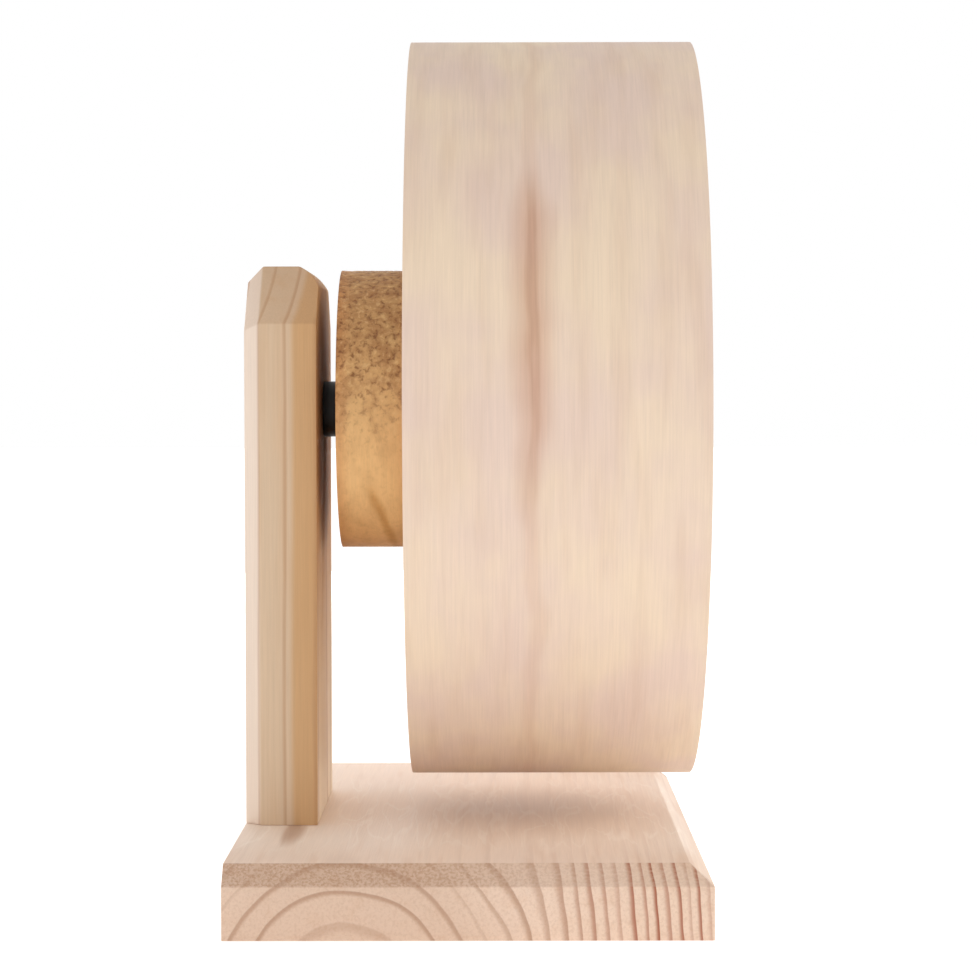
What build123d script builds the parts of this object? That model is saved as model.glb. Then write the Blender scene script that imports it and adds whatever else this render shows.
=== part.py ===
from build123d import *
import os
from math import cos, degrees, radians, sin

# Rodent exercise wheel of bent plywood and pine, in millimetres. +Z is up and X runs along the base
# board, with its grain. The axle lies along Y: the drum's open side faces -Y and the post stands on the
# +Y edge of the base. The origin is under the middle of the base, on the surface that it stands on.

# Base board: both ends and the open side have a chamfered top edge, the post's side is square
base_length = 210.0
base_width = 126.0
base_thickness = 19.0
base_chamfer_run = 6.0
base_chamfer_drop = 5.2

# Post: clipped top corners, chamfered outer edges, and a crowned bevel over the edge nearest the wheel
post_thickness = 20.5
post_width = 70.0
post_above_axle = 40.5
post_corner_cut = 16.5
post_edge_chamfer = 4.5
post_bevel = 5.7
post_bevel_crown = 12.0

# Drum
axle_above_base = 116.0
drum_diameter = 210.0
drum_width = 79.0
rim_wall = 3.0
scarf_length = 18.0
scarf_angle = 118.0
scarf_line_depth = 0.35
panel_thickness = 4.0
panel_access_diameter = 20.0
glue_gap = 0.05

# Hub block
hub_diameter = 80.0
hub_thickness = 20.5
hub_shoulder_bore = 18.0
hub_to_post_gap = 5.5

# Ball bearing of the 608 size, pressed into the back of the hub block
bearing_outer_diameter = 22.0
bearing_bore = 8.0
bearing_width = 7.0
inner_land_diameter = 12.1
outer_land_diameter = 17.9
ball_diameter = 3.969
ball_count = 7
ball_sides = 12
ball_clearance = 0.03
seal_inset = 0.1
seal_thickness = 0.5
seal_running_gap = 0.3
cage_wall = 1.6
cage_reach_past_balls = 1.0
cage_pocket_gap = 0.08
cage_end_gap = 0.3
seat_gap = 0.02

# Axle bolt and what it clamps
bolt_diameter = 7.9
bolt_head_diameter = 17.0
bolt_head_thickness = 2.4
bolt_head_recess = 0.3
bolt_socket_flats = 5.0
bolt_socket_depth = 3.6
bolt_end_inset = 2.8
bolt_end_chamfer = 0.8
washer_diameter = 16.0
washer_thickness = 1.2
sleeve_diameter = 12.0
spacer_diameter = 16.0
spacer_nose_length = 0.5
spacer_nose_inset = 0.15
bolt_hole_clearance = 0.2

# Pronged nut let in flush at the back of the post
nut_flange_diameter = 22.0
nut_flange_thickness = 1.6
nut_barrel_diameter = 9.8
nut_barrel_length = 9.5
nut_thread_bore = 8.0
nut_prong_count = 4
nut_prong_width = 4.4
nut_prong_length = 6.5
nut_prong_radius = 7.6
nut_recess_clearance = 0.2

# Wood screws
base_screw_shank = 5.0
base_screw_head = 10.0
base_screw_sink = 1.0
base_screw_bite = 42.0
base_screw_pitch = 40.0
hub_screw_shank = 3.5
hub_screw_head = 7.0
hub_screw_sink = 0.3
hub_screw_bite = 12.0
hub_screw_circle = 56.0
hub_screw_count = 4
screw_hole_gap = 0.03
screw_point = 0.4
screw_sides = 12

# Places along Z
axle_z = base_thickness + axle_above_base
post_top = axle_z + post_above_axle

# Places along Y, from the back of the post to the mouth of the drum
post_back = base_width / 2
post_front = post_back - post_thickness
hub_back = post_front - hub_to_post_gap
bearing_front = hub_back - bearing_width
bearing_middle = hub_back - bearing_width / 2
hub_front = hub_back - hub_thickness
panel_front = hub_front - panel_thickness
drum_mouth = hub_front - drum_width
bolt_head_front = panel_front + bolt_head_recess
bolt_head_back = bolt_head_front + bolt_head_thickness
sleeve_front = bolt_head_back + washer_thickness
nut_flange_front = post_back - nut_flange_thickness
bolt_end = post_back - bolt_end_inset

# Radii about the axle
drum_radius = drum_diameter / 2
drum_inner_radius = drum_radius - rim_wall
ball_radius = ball_diameter / 2
ball_track_radius = (bearing_outer_diameter + bearing_bore) / 4
bolt_hole_radius = bolt_diameter / 2 + bolt_hole_clearance


def turned(*profile):
    """Turn a solid about the axle from its profile, given as (place along Y, radius) corners."""
    corners = [(radius, place) for place, radius in profile]
    face = make_face(Polyline(*corners, close=True))
    return Pos(0, 0, axle_z) * revolve(face, Axis.Y)


def ring(inner_radius, outer_radius, front, back):
    """A plain ring about the axle."""
    return turned((front, inner_radius), (front, outer_radius), (back, outer_radius), (back, inner_radius))


def around_axle(piece, turn, radius, place):
    """Move a piece, made at the origin, to a radius and angle about the axle, clockwise seen from -Y."""
    return Pos(0, place, axle_z) * Rot(0, turn, 0) * Pos(0, 0, radius) * piece


def turned_flats(stations, sides):
    """A small turned form up +Z with flat sides, bulging through rings given as (place, radius)."""
    turns = [index * 360 / sides for index in range(sides)]
    return ConvexPolyhedron(
        Vector(radius, 0, place).rotate(Axis.Z, turn) for place, radius in stations for turn in turns
    )


def wood_screw(length, shank, head, gap=0.0):
    """Countersunk screw, its head's face at the origin and its point up +Z, grown all round by gap."""
    shank_radius = shank / 2 + gap
    head_radius = head / 2 + gap
    cone = [(0, head_radius), (head_radius - shank_radius, shank_radius)]
    stem = [(0, shank_radius), (length - shank, shank_radius), (length + gap, screw_point + gap)]
    return turned_flats(cone, screw_sides) + turned_flats(stem, screw_sides)


def screw_hole(length, shank, head, sink):
    """The hole for a screw whose head lies a little under the surface."""
    mouth_radius = head / 2 + screw_hole_gap
    mouth = turned_flats([(-2 * sink, mouth_radius), (0, mouth_radius)], screw_sides)
    return wood_screw(length, shank, head, screw_hole_gap) + mouth


# Screws, each with the hole that it needs
base_screw_length = base_thickness - base_screw_sink + base_screw_bite
base_screw_seats = [
    Pos(side * base_screw_pitch / 2, (post_front + post_back) / 2, base_screw_sink) for side in (-1, 1)
]
hub_screw_length = panel_thickness - hub_screw_sink + hub_screw_bite
hub_screw_seats = [
    Pos(0, panel_front + hub_screw_sink, axle_z)
    * Rot(0, (index + 0.5) * 360 / hub_screw_count, 0)
    * Pos(0, 0, hub_screw_circle / 2)
    * Rot(-90, 0, 0)
    for index in range(hub_screw_count)
]


def make_base_plate():
    """Board whose top edges are planed off at both ends and along the open side."""
    half_length = base_length / 2
    half_width = base_width / 2
    shoulder = base_thickness - base_chamfer_drop
    side_view = Polyline(
        (-half_length, 0),
        (half_length, 0),
        (half_length, shoulder),
        (half_length - base_chamfer_run, base_thickness),
        (base_chamfer_run - half_length, base_thickness),
        (-half_length, shoulder),
        close=True,
    )
    end_view = Polyline(
        (-half_width, 0),
        (half_width, 0),
        (half_width, base_thickness),
        (base_chamfer_run - half_width, base_thickness),
        (-half_width, shoulder),
        close=True,
    )
    along_y = extrude(make_face(Plane.XZ * side_view), half_width, both=True)
    along_x = extrude(make_face(Plane.YZ * end_view), half_length, both=True)
    board = along_y & along_x
    for seat in base_screw_seats:
        board -= seat * screw_hole(base_screw_length, base_screw_shank, base_screw_head, base_screw_sink)
    return board


def make_t_nut():
    """Flanged nut with four prongs that are bent forward out of notches in the flange."""
    flange = Pos(0, 0, -nut_flange_thickness / 2) * Cylinder(nut_flange_diameter / 2, nut_flange_thickness)
    barrel_middle = -nut_flange_thickness - nut_barrel_length / 2
    barrel = Pos(0, 0, barrel_middle) * Cylinder(nut_barrel_diameter / 2, nut_barrel_length)
    nut = flange + barrel
    spike = Polyline(
        (-nut_prong_width / 2, -nut_flange_thickness),
        (nut_prong_width / 2, -nut_flange_thickness),
        (0, -nut_flange_thickness - nut_prong_length),
        close=True,
    )
    prong = Pos(nut_prong_radius, 0, 0) * extrude(make_face(Plane.YZ * spike), nut_flange_thickness)
    notch_start = nut_prong_radius + nut_flange_thickness
    notch_reach = nut_flange_diameter / 2 - notch_start
    notch = Pos(notch_start + notch_reach, 0, 0) * Box(2 * notch_reach, nut_prong_width, 3 * nut_flange_thickness)
    for index in range(nut_prong_count):
        turn = Rot(0, 0, (index + 0.5) * 360 / nut_prong_count)
        nut += turn * prong
        nut -= turn * notch
    nut -= Cylinder(nut_thread_bore / 2, 4 * nut_barrel_length)
    return Pos(0, post_back, axle_z) * Rot(-90, 0, 0) * nut


def make_post(t_nut):
    """Upright board: outline with clipped corners, outer edges chamfered, inner top edge bevelled."""
    half_width = post_width / 2
    shoulder = post_top - post_corner_cut
    outline = Polyline(
        (-half_width, base_thickness),
        (half_width, base_thickness),
        (half_width, shoulder),
        (half_width - post_corner_cut, post_top),
        (post_corner_cut - half_width, post_top),
        (-half_width, shoulder),
        close=True,
    )
    board = Pos(0, post_back, 0) * extrude(make_face(Plane.XZ * outline), post_thickness)
    back_edges = board.faces().sort_by(Axis.Y)[-1].edges()
    board = chamfer(back_edges.sort_by(Axis.Z)[1:], post_edge_chamfer)
    foot = (post_front, post_top - post_bevel)
    brow = (post_front + post_bevel, post_top)
    crown = RadiusArc(foot, brow, post_bevel_crown)
    outside = Polyline(brow, (post_front - post_bevel, post_top + post_bevel), foot)
    board -= extrude(make_face(Plane.YZ * Wire([crown.edge(), *outside.edges()])), post_width, both=True)
    board -= ring(0, bolt_hole_radius, post_front - 1, post_back)
    board -= ring(0, nut_flange_diameter / 2 + nut_recess_clearance, nut_flange_front, post_back + 1)
    board -= ring(0, nut_barrel_diameter / 2 + glue_gap, nut_flange_front - nut_barrel_length, post_back)
    board -= t_nut
    for seat in base_screw_seats:
        board -= seat * wood_screw(base_screw_length, base_screw_shank, base_screw_head, screw_hole_gap)
    return board


def make_running_rim():
    """Plywood strip bent into a ring; its glued scarf shows as a fine line outside and one inside."""
    hoop = ring(drum_inner_radius, drum_radius, drum_mouth, hub_front)
    line = Rot(0, 45, 0) * Box(scarf_line_depth, 2 * drum_width, scarf_line_depth)
    scarf_turn = degrees(scarf_length / drum_radius)
    hoop -= around_axle(line, scarf_angle, drum_radius, 0)
    hoop -= around_axle(line, scarf_angle + scarf_turn, drum_inner_radius, 0)
    return hoop


def make_back_panel():
    """Round panel glued inside the back of the rim, with an access hole for the bolt's head."""
    panel = ring(panel_access_diameter / 2, drum_inner_radius - glue_gap, panel_front, hub_front)
    for seat in hub_screw_seats:
        panel -= seat * screw_hole(hub_screw_length, hub_screw_shank, hub_screw_head, hub_screw_sink)
    return panel


def make_hub_block():
    """Turned pine disc with a bearing seat in its back and a shoulder behind the seat."""
    radius = hub_diameter / 2
    seat_radius = bearing_outer_diameter / 2 + seat_gap
    block = turned(
        (hub_front, hub_shoulder_bore / 2),
        (hub_front, radius),
        (hub_back, radius),
        (hub_back, seat_radius),
        (bearing_front, seat_radius),
        (bearing_front, hub_shoulder_bore / 2),
    )
    for seat in hub_screw_seats:
        block -= seat * wood_screw(hub_screw_length, hub_screw_shank, hub_screw_head, screw_hole_gap)
    return block


def make_outer_race():
    """Outer ring, with the ball track in the middle of its bore."""
    return ring(outer_land_diameter / 2, bearing_outer_diameter / 2, bearing_front, hub_back) - make_ball_track()


def make_inner_race():
    """Inner ring with its ball track; the bolt clamps it between sleeve and spacer."""
    return ring(bearing_bore / 2, inner_land_diameter / 2, bearing_front, hub_back) - make_ball_track()


def make_ball_track():
    """The ring-shaped space that the balls run in, an eight-sided section that clears the ball all round."""
    section = RegularPolygon(ball_radius + ball_clearance, 8, major_radius=False, rotation=22.5)
    return Pos(0, bearing_middle, axle_z) * revolve(Pos(ball_track_radius, 0, 0) * section, Axis.Y)


def make_balls():
    """Steel balls, evenly spaced; each is a faceted form inside the true sphere."""
    rings = ball_sides // 2 - 1
    angles = [radians(-90 + 180 * (index + 0.5) / rings) for index in range(rings)]
    ball = turned_flats([(ball_radius * sin(angle), ball_radius * cos(angle)) for angle in angles], ball_sides)
    step = 360 / ball_count
    return [around_axle(ball, index * step, ball_track_radius, bearing_middle) for index in range(ball_count)]


def make_cage():
    """Snap cage: a closed ring behind the balls, with fingers that reach past them on the other side."""
    cage_back = hub_back - seal_inset - seal_thickness - cage_end_gap
    cage_front = bearing_middle - cage_reach_past_balls
    cage = ring(ball_track_radius - cage_wall / 2, ball_track_radius + cage_wall / 2, cage_front, cage_back)
    pocket = Cylinder(ball_radius + cage_pocket_gap, 3 * cage_wall)
    for index in range(ball_count):
        cage -= around_axle(pocket, index * 360 / ball_count, ball_track_radius, bearing_middle)
    return cage


def make_seal(front):
    """Thin disc that sits in the outer race and runs just clear of the inner one."""
    inner_radius = inner_land_diameter / 2 + seal_running_gap
    return ring(inner_radius, outer_land_diameter / 2 - seat_gap, front, front + seal_thickness)


def make_axle_bolt():
    """Bolt with a low flat head and a hex socket, put in from inside the drum."""
    head_radius = bolt_head_diameter / 2
    shank_radius = bolt_diameter / 2
    bolt = turned(
        (bolt_head_front, 0),
        (bolt_head_front, head_radius),
        (bolt_head_back, head_radius),
        (bolt_head_back, shank_radius),
        (bolt_end - bolt_end_chamfer, shank_radius),
        (bolt_end, shank_radius - bolt_end_chamfer),
        (bolt_end, 0),
    )
    socket_face = Plane(origin=(0, bolt_head_front, axle_z), x_dir=(1, 0, 0), z_dir=(0, 1, 0))
    hexagon = socket_face * RegularPolygon(bolt_socket_flats / 2, 6, major_radius=False)
    return bolt - extrude(hexagon, bolt_socket_depth)


def make_axle_spacer():
    """Turned black distance piece; only its narrow nose touches the inner race."""
    radius = spacer_diameter / 2
    nose_radius = inner_land_diameter / 2 - spacer_nose_inset
    shoulder = hub_back + spacer_nose_length
    return turned(
        (hub_back, bolt_hole_radius),
        (hub_back, nose_radius),
        (shoulder, nose_radius),
        (shoulder, radius),
        (post_front, radius),
        (post_front, bolt_hole_radius),
    )


t_nut = make_t_nut()
base_screw = wood_screw(base_screw_length, base_screw_shank, base_screw_head)
hub_screw = wood_screw(hub_screw_length, hub_screw_shank, hub_screw_head)

pieces = {
    "base_plate": make_base_plate(),
    "post": make_post(t_nut),
    "base_screws": [seat * base_screw for seat in base_screw_seats],
    "t_nut": t_nut,
    "running_rim": make_running_rim(),
    "back_panel": make_back_panel(),
    "hub_block": make_hub_block(),
    "hub_screws": [seat * hub_screw for seat in hub_screw_seats],
    "bearing_outer_race": make_outer_race(),
    "bearing_inner_race": make_inner_race(),
    "bearing_balls": make_balls(),
    "bearing_cage": make_cage(),
    "rear_seal": make_seal(hub_back - seal_inset - seal_thickness),
    "front_seal": make_seal(bearing_front + seal_inset),
    "hub_sleeve": ring(bolt_hole_radius, sleeve_diameter / 2, sleeve_front, bearing_front),
    "head_washer": ring(bolt_hole_radius, washer_diameter / 2, bolt_head_back, sleeve_front),
    "axle_spacer": make_axle_spacer(),
    "axle_bolt": make_axle_bolt(),
}

os.makedirs("parts", exist_ok=True)
for name, piece in pieces.items():
    shape = Compound(piece) if isinstance(piece, list) else piece
    export_step(shape, f"parts/{name}.step")
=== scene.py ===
from math import asin, cos, pi, radians, sin

import bpy
from mathutils import Euler, Matrix, Vector


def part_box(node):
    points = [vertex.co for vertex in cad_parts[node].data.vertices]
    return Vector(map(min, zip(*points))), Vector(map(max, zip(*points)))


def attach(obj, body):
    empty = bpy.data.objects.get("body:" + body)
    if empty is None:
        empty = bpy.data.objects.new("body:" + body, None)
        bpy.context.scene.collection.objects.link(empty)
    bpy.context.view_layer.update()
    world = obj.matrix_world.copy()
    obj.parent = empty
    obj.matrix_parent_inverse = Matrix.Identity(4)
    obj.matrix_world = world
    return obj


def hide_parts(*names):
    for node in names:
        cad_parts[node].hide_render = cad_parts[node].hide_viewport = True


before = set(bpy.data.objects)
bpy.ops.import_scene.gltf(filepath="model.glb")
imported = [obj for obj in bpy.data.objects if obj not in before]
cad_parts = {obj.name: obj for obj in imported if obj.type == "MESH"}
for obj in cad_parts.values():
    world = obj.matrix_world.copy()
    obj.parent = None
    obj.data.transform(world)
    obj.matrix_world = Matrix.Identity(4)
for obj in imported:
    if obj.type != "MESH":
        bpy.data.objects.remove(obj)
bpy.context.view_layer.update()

# Base board. A planed pine board that the wheel stands on, sawn across the grain at both ends, with the
# top edges planed off at the ends and along the open side. It is sanded and left bare, so its growth
# rings show at the ends, and the end grain on the two bevels is rough from the cutter.

mm = 0.001
base_chamfer_run = 6.0 * mm
base_chamfer_drop = 5.2 * mm
eased_edge = 0.35 * mm
rough_depth = 0.25 * mm
rough_grain = 0.9 * mm
cuts_across_bevel = 60
cuts_between = 2
cuts_down_bevel = 10
bevel_slack = 0.01
base_pith = (0.0, 30.0 * mm, -15.0 * mm)
base_lean = (0.0, radians(0.5), radians(-0.7))
base_ring_rate = 39.1
base_ring_crowding = 1890.0
mark_place = (-44 * mm, 48.5 * mm)
mark_length = 30 * mm
mark_width = 3.6 * mm
far_rings = (45 * mm, 75 * mm)
heart_rings = (30 * mm, 55 * mm)
straight_rings = (30 * mm, 60 * mm)
torn_reach = (-35 * mm, 15 * mm)
# Middle and reach of painted light on the board's top, lifting the drum's shadow there.
painted_fill_middle = -10 * mm
painted_fill_reach = (45 * mm, 85 * mm)
screw_radius = 2.5 * mm
screw_head_radius = 5.0 * mm
screw_sink = 1.0 * mm
screw_gap = 0.03 * mm
screw_pitch = 40.0 * mm
screw_line = 52.75 * mm
drill_steps = 32
weld_distance = 1e-6


def deselect():
    bpy.ops.object.select_all(action="DESELECT")


def use_only(piece):
    """Select one piece and make it the active one."""
    deselect()
    piece.select_set(True)
    bpy.context.view_layer.objects.active = piece


def settle(piece):
    """Put a piece's place, turn and scale into its mesh."""
    use_only(piece)
    bpy.ops.object.transform_apply(location=True, rotation=True, scale=True)
    return piece


def new_block(name, low, high):
    """A rectangular block between two corners."""
    deselect()
    bpy.ops.mesh.primitive_cube_add(size=1, location=(low + high) / 2, scale=high - low)
    piece = bpy.context.object
    piece.name = name
    return settle(piece)


def pick(piece, kind, test):
    """Go into edit mode with just those faces or edges of a piece selected that pass a test."""
    use_only(piece)
    bpy.context.tool_settings.mesh_select_mode = (False, kind == "edges", kind == "faces")
    mesh = piece.data
    for part in (*mesh.vertices, *mesh.edges, *mesh.polygons):
        part.select = False
    if kind == "faces":
        for face in mesh.polygons:
            face.select = test(face.center, face.normal)
    else:
        for edge in mesh.edges:
            edge.select = test(*(mesh.vertices[index].co for index in edge.vertices))
    bpy.ops.object.mode_set(mode="EDIT")


def leave():
    bpy.ops.object.mode_set(mode="OBJECT")


def plane_off(piece, point, normal):
    """Plane away what lies beyond a flat cut, and close the cut."""
    pick(piece, "faces", lambda centre, facing: True)
    direction = Vector(normal).normalized()
    settings = {"use_fill": True, "clear_outer": True, "threshold": weld_distance}
    bpy.ops.mesh.bisect(plane_co=point, plane_no=direction, **settings)
    leave()


def new_turned(name, profile, steps):
    """Turn a piece about the Z axis from corners given as (place, radius); a ring is closed on itself."""
    deselect()
    bpy.ops.mesh.primitive_plane_add(size=mm, location=(profile[0][1], 0, profile[0][0]))
    piece = bpy.context.object
    piece.name = name
    settle(piece)
    bpy.context.tool_settings.mesh_select_mode = (True, False, False)
    bpy.ops.object.mode_set(mode="EDIT")
    bpy.ops.mesh.select_all(action="SELECT")
    bpy.ops.mesh.merge(type="CENTER")
    loop = profile if profile[0][1] == 0 else [*profile, profile[0]]
    for (place, radius), (next_place, next_radius) in zip(loop, loop[1:]):
        step = (next_radius - radius, 0, next_place - place)
        bpy.ops.mesh.extrude_region_move(TRANSFORM_OT_translate={"value": step})
    bpy.ops.mesh.select_all(action="SELECT")
    bpy.ops.mesh.spin(steps=steps, angle=2 * pi, center=(0, 0, 0), axis=(0, 0, 1))
    bpy.ops.mesh.select_all(action="SELECT")
    bpy.ops.mesh.remove_doubles(threshold=weld_distance)
    bpy.ops.mesh.normals_make_consistent(inside=False)
    leave()
    return piece


def put(piece, place, turn=(0, 0, 0)):
    """Turn a finished piece about the origin, then move it to its place."""
    piece.rotation_euler = turn
    piece.location = place
    return settle(piece)


def apply(piece, kind, **settings):
    """Add a modifier with its settings, and apply it."""
    use_only(piece)
    modifier = piece.modifiers.new(kind.title(), kind)
    for name, value in settings.items():
        setattr(modifier, name, value)
    bpy.ops.object.modifier_apply(modifier=modifier.name)
    return piece


def ease_edges(piece, width, segments=2, angle=25):
    """Round every sharp edge a little."""
    return apply(piece, "BEVEL", width=width, segments=segments, angle_limit=radians(angle))


def cut_away(piece, *tools):
    """Cut the shape of each tool out of a piece, and throw the tools away."""
    for tool in tools:
        apply(piece, "BOOLEAN", operation="DIFFERENCE", solver="EXACT", object=tool)
        bpy.data.objects.remove(tool)
    return piece


def roughen(piece, weight, depth, grain_size):
    """Sink torn pits into a piece, as deep as weight says from 0 to 1 at each of its points."""
    group = piece.vertex_groups.new(name="rough")
    for vertex in piece.data.vertices:
        group.add([vertex.index], weight(vertex.co), "REPLACE")
    pits = bpy.data.textures.new("torn_fibres", "CLOUDS")
    pits.noise_scale = grain_size
    pits.noise_depth = 2
    settings = {"texture": pits, "texture_coords": "LOCAL", "vertex_group": group.name}
    return apply(piece, "DISPLACE", strength=depth, mid_level=0.85, **settings)


def smooth(piece, angle=30):
    use_only(piece)
    bpy.ops.object.shade_smooth_by_angle(angle=radians(angle))
    return piece


class Value:
    """A socket of a finish, used in sums as a number or a colour."""

    def __init__(self, finish, socket):
        self.finish = finish
        self.socket = socket

    def maths(self, operation, first, second=0.0):
        return self.finish.node("Math", {"operation": operation}, {0: first, 1: second})

    def __add__(self, other):
        return self.maths("ADD", self, other)

    def __sub__(self, other):
        return self.maths("SUBTRACT", self, other)

    def __rsub__(self, other):
        return self.maths("SUBTRACT", other, self)

    def __mul__(self, other):
        return self.maths("MULTIPLY", self, other)

    def __truediv__(self, other):
        return self.maths("DIVIDE", self, other)

    def __pow__(self, other):
        return self.maths("POWER", self, other)

    def __abs__(self):
        return self.maths("ABSOLUTE", self)

    __radd__ = __add__
    __rmul__ = __mul__


class Finish:
    """A procedural material, put together node by node."""

    def __init__(self, name):
        self.material = bpy.data.materials.new(name)
        self.material.use_nodes = True
        self.tree = self.material.node_tree
        self.shader = self.tree.nodes["Principled BSDF"]
        self.place = self.node("TexCoord", output="Object")
        self.facing = self.node("TexCoord", output="Normal")

    def node(self, kind, settings=None, inputs=None, output=0):
        node = self.tree.nodes.new("ShaderNode" + kind)
        for name, value in (settings or {}).items():
            setattr(node, name, value)
        for key, value in (inputs or {}).items():
            self.feed(node.inputs[key], value)
        return Value(self, node.outputs[output])

    def feed(self, socket, value):
        if isinstance(value, Value):
            self.tree.links.new(value.socket, socket)
        else:
            socket.default_value = value

    def split(self, vector):
        """The three numbers of a vector."""
        return [self.node("SeparateXYZ", inputs={0: vector}, output=index) for index in range(3)]

    def stretched(self, vector, scale):
        return self.node("Mapping", inputs={"Vector": vector, "Scale": scale})

    def noise(self, vector, scale, detail=2.0, roughness=0.5, distortion=0.0):
        inputs = {"Vector": vector, "Scale": scale, "Detail": detail, "Roughness": roughness}
        inputs["Distortion"] = distortion
        return self.node("TexNoise", inputs=inputs)

    def noise_along(self, number, scale, detail=1.0):
        """Noise that changes along one number only."""
        inputs = {"W": number, "Scale": scale, "Detail": detail}
        return self.node("TexNoise", {"noise_dimensions": "1D"}, inputs)

    def rise(self, number, low, high):
        """A soft step from 0 at low to 1 at high."""
        return self.node("MapRange", {"interpolation_type": "SMOOTHSTEP"}, {0: number, 1: low, 2: high})

    def mix(self, factor, first, second, blend="MIX"):
        """Two colours, mixed."""
        settings = {"data_type": "RGBA", "blend_type": blend}
        return self.node("Mix", settings, {0: factor, 6: first, 7: second}, output=2)

    def grey(self, number):
        """A number as a colour, to darken or lighten another with."""
        return self.node("CombineXYZ", inputs={0: number, 1: number, 2: number})

    def fibred(self, colour, fibres, contrast):
        """A colour made darker and lighter along the fibres."""
        return self.mix(1.0, colour, self.grey(1 - contrast / 2 + fibres * contrast), "MULTIPLY")

    def wear(self, piece):
        """Give a piece this material only."""
        piece.data.materials.clear()
        piece.data.materials.append(self.material)
        return piece

    def surface(self, colour, roughness, height=None, depth=0.0, metallic=0.0):
        """Feed the shader: a colour, a roughness and a relief of the given depth."""
        self.feed(self.shader.inputs["Base Color"], colour)
        self.feed(self.shader.inputs["Roughness"], roughness)
        self.feed(self.shader.inputs["Metallic"], metallic)
        if height is not None:
            relief = self.node("Bump", inputs={"Strength": 1.0, "Distance": depth, "Height": height})
            self.feed(self.shader.inputs["Normal"], relief)


def seen(red, green, blue):
    """A colour given as it is seen on a screen, 0 to 255, as light."""
    parts = [level / 255 for level in (red, green, blue)]
    return (*(part / 12.92 if part < 0.04045 else ((part + 0.055) / 1.055) ** 2.4 for part in parts), 1.0)


def grow_wood(
    finish, pith, turn, rate, crowding=0.0, wander=1.6 * mm, uneven=1.0, line=0.4, old_line=0, first=0
):
    """Growth rings about a pith line along the turned X axis, and fibres along it, each from 0 to 1.

    Rate is how many rings there are to a metre at the pith, and crowding how fast that grows outwards.
    First shifts the count. Wander is how far the rings stray, uneven how much their widths differ, and
    line the dark share of a ring. Where there is an old line, the dark share grows to that far out, and
    the rings straighten there.
    """
    inputs = {"Vector": finish.place, "Location": pith, "Rotation": turn}
    log = finish.node("Mapping", {"vector_type": "TEXTURE"}, inputs)
    along, across, up = finish.split(log)
    if old_line:
        outwards = finish.rise(abs(across), *straight_rings)
        up = up * (1 - outwards * 0.45)
        line = line + outwards * (old_line - line)
    drift = finish.noise(finish.stretched(log, (0.25, 1, 1)), 45, 2) - 0.5
    radius = (across * across + up * up) ** 0.5 + drift * (2 * wander)
    jitter = (finish.noise_along(radius, 95) - 0.5) * uneven
    count = radius * (rate + radius * crowding) + jitter + first
    part = count.maths("FRACT", count)
    tone = finish.node("TexWhiteNoise", {"noise_dimensions": "1D"}, {"W": count.maths("FLOOR", count)})
    rings = finish.rise(part, 0.94 - line, 0.9) * (1 - finish.rise(part, 0.94, 1.0)) * (0.35 + tone * 0.65)
    fibres = finish.noise(finish.stretched(log, (0.02, 1, 1)), 2100, 3, 0.6)
    flow = finish.noise(finish.stretched(log, (0.08, 1, 1)), 230, 2)
    mottle = finish.noise(finish.stretched(log, (0.4, 1, 1)), 38, 2)
    parts = {"log": log, "radius": radius, "rings": rings}
    return {**parts, "fibres": fibres, "flow": flow, "mottle": mottle}


def end_grain(finish, turn):
    """How squarely the surface cuts the fibres, from 0 along the grain to 1 across it."""
    grain = Euler(turn).to_matrix() @ Vector((1, 0, 0))
    settings = {"operation": "DOT_PRODUCT"}
    return abs(finish.node("VectorMath", settings, {0: finish.facing, 1: grain}, output="Value"))


base_low, base_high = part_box("base_plate")
base_board = new_block("base_board", base_low, base_high)
shoulder_z = base_high.z - base_chamfer_drop
for side in (-1, 1):
    end_x = side * base_high.x
    plane_off(base_board, (end_x, 0, shoulder_z), (side * base_chamfer_drop, 0, base_chamfer_run))
plane_off(base_board, (0, base_low.y, shoulder_z), (0, -base_chamfer_drop, base_chamfer_run))


def on_end_bevel(point):
    reach = (abs(point.x) - base_high.x + base_chamfer_run) / base_chamfer_run
    drop = (base_high.z - point.z) / base_chamfer_drop
    return abs(reach - drop) < bevel_slack and reach > -bevel_slack


def lies_across_end_bevel(first, second):
    return on_end_bevel(first) and on_end_bevel(second) and abs(first.x - second.x) < bevel_slack * mm


def runs_down_end_bevel(first, second):
    return on_end_bevel(first) and on_end_bevel(second) and abs(first.z - second.z) > 1 * mm


pick(base_board, "edges", lies_across_end_bevel)
bpy.ops.mesh.subdivide(number_cuts=cuts_across_bevel)
bpy.ops.mesh.subdivide(number_cuts=cuts_between)
leave()
pick(base_board, "edges", runs_down_end_bevel)
bpy.ops.mesh.subdivide(number_cuts=cuts_down_bevel)
leave()


def bevel_roughness(point):
    """Deepest in the middle of an end bevel, and nothing at its edges."""
    if not on_end_bevel(point):
        return 0.0
    drop = (base_high.z - point.z) / base_chamfer_drop
    from_side = (base_high.y - abs(point.y)) / mm
    return min(1.0, 5 * drop * (1 - drop)) * min(1.0, from_side)


roughen(base_board, bevel_roughness, rough_depth, rough_grain)
screw_hole = [
    (-1 * mm, 0),
    (-1 * mm, screw_head_radius + screw_gap),
    (screw_sink, screw_head_radius + screw_gap),
    (screw_sink + screw_head_radius - screw_radius, screw_radius + screw_gap),
    (base_high.z + 1 * mm, screw_radius + screw_gap),
    (base_high.z + 1 * mm, 0),
]
for side in (-1, 1):
    drill = new_turned("drill", screw_hole, drill_steps)
    cut_away(base_board, put(drill, (side * screw_pitch / 2, screw_line, 0)))
ease_edges(base_board, eased_edge)
smooth(base_board)

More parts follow.
